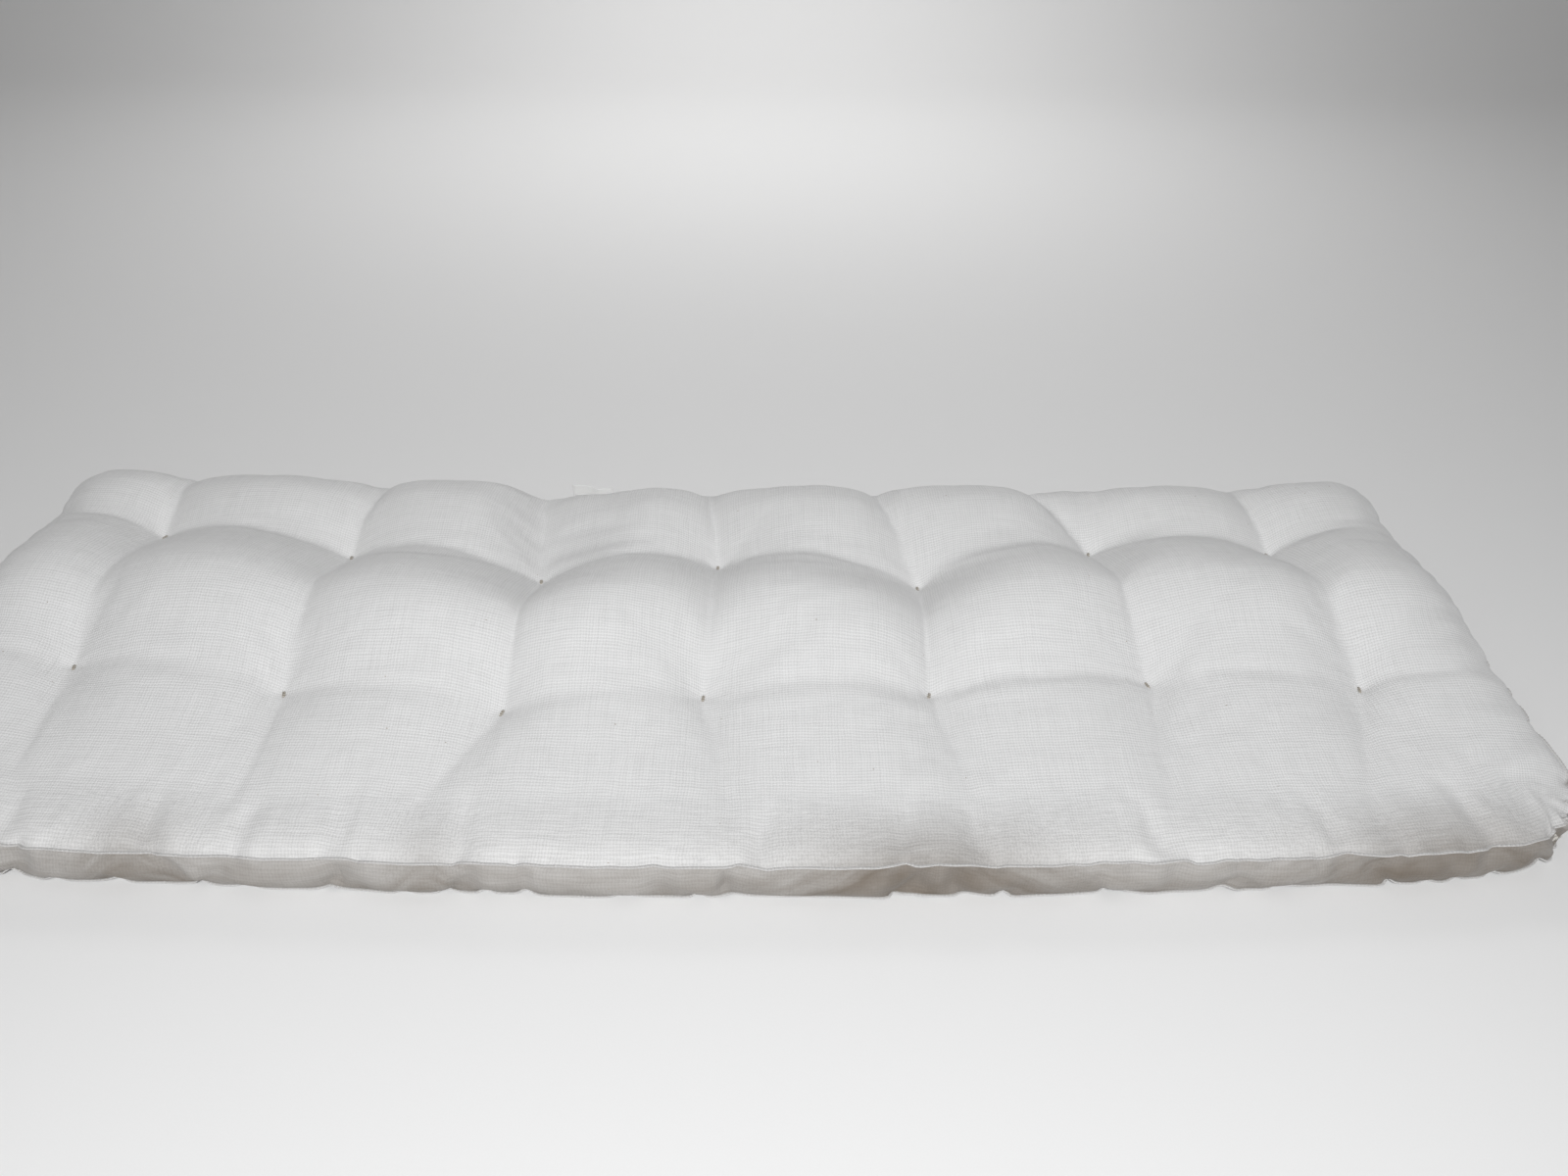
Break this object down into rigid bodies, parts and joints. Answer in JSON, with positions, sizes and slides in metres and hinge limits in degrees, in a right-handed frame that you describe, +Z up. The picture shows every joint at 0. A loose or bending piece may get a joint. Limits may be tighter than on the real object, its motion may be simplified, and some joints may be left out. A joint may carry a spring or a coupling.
{
  "type": "futon mattress",
  "caption": "Long narrow tufted mattress: boxed cotton casing, cotton batting round a thin foam core, tied through in rows of tufts, folding in half across the middle.",
  "frame": {"origin": "on the floor, under the middle of the mattress", "axes": "+X along the length, towards the half that folds over; +Y across the width, towards the edge with the care label; +Z up"},
  "size_m": [1.9, 0.7, 0.14],
  "materials": {
    "casing": "coarse off-white cotton weave",
    "seam": "turned and stitched cotton edge",
    "batting": "loose carded cotton",
    "foam": "open-cell polyurethane foam",
    "twine": "waxed tufting twine",
    "label": "blank woven tape"
  },
  "bodies": {
    "left_half": {"top_panel_left": "casing", "bottom_panel_left": "casing", "front_border_left": "casing", "back_border_left": "casing", "end_border_left": "casing", "top_edge_seam_left": "seam", "bottom_edge_seam_left": "seam", "foam_core_left": "foam", "lower_batting_1_left": "batting", "lower_batting_2_left": "batting", "lower_batting_3_left": "batting", "upper_batting_1_left": "batting", "upper_batting_2_left": "batting", "upper_batting_3_left": "batting", "tuft_tie_front_1": "twine", "tuft_tie_front_2": "twine", "tuft_tie_front_3": "twine", "tuft_tie_front_4": "twine", "tuft_tie_back_1": "twine", "tuft_tie_back_2": "twine", "tuft_tie_back_3": "twine", "tuft_tie_back_4": "twine", "care_label": "label"},
    "right_half": {"top_panel_right": "casing", "bottom_panel_right": "casing", "front_border_right": "casing", "back_border_right": "casing", "end_border_right": "casing", "top_edge_seam_right": "seam", "bottom_edge_seam_right": "seam", "foam_core_right": "foam", "lower_batting_1_right": "batting", "lower_batting_2_right": "batting", "lower_batting_3_right": "batting", "upper_batting_1_right": "batting", "upper_batting_2_right": "batting", "upper_batting_3_right": "batting", "tuft_tie_front_5": "twine", "tuft_tie_front_6": "twine", "tuft_tie_front_7": "twine", "tuft_tie_back_5": "twine", "tuft_tie_back_6": "twine", "tuft_tie_back_7": "twine"}
  },
  "joints": [
    {"name": "fold", "type": "hinge", "parent": "left_half", "child": "right_half", "pos_m": [0.0045, 0, 0.1405], "axis": [0, -1, 0], "range_deg": [0, 179]}
  ]
}
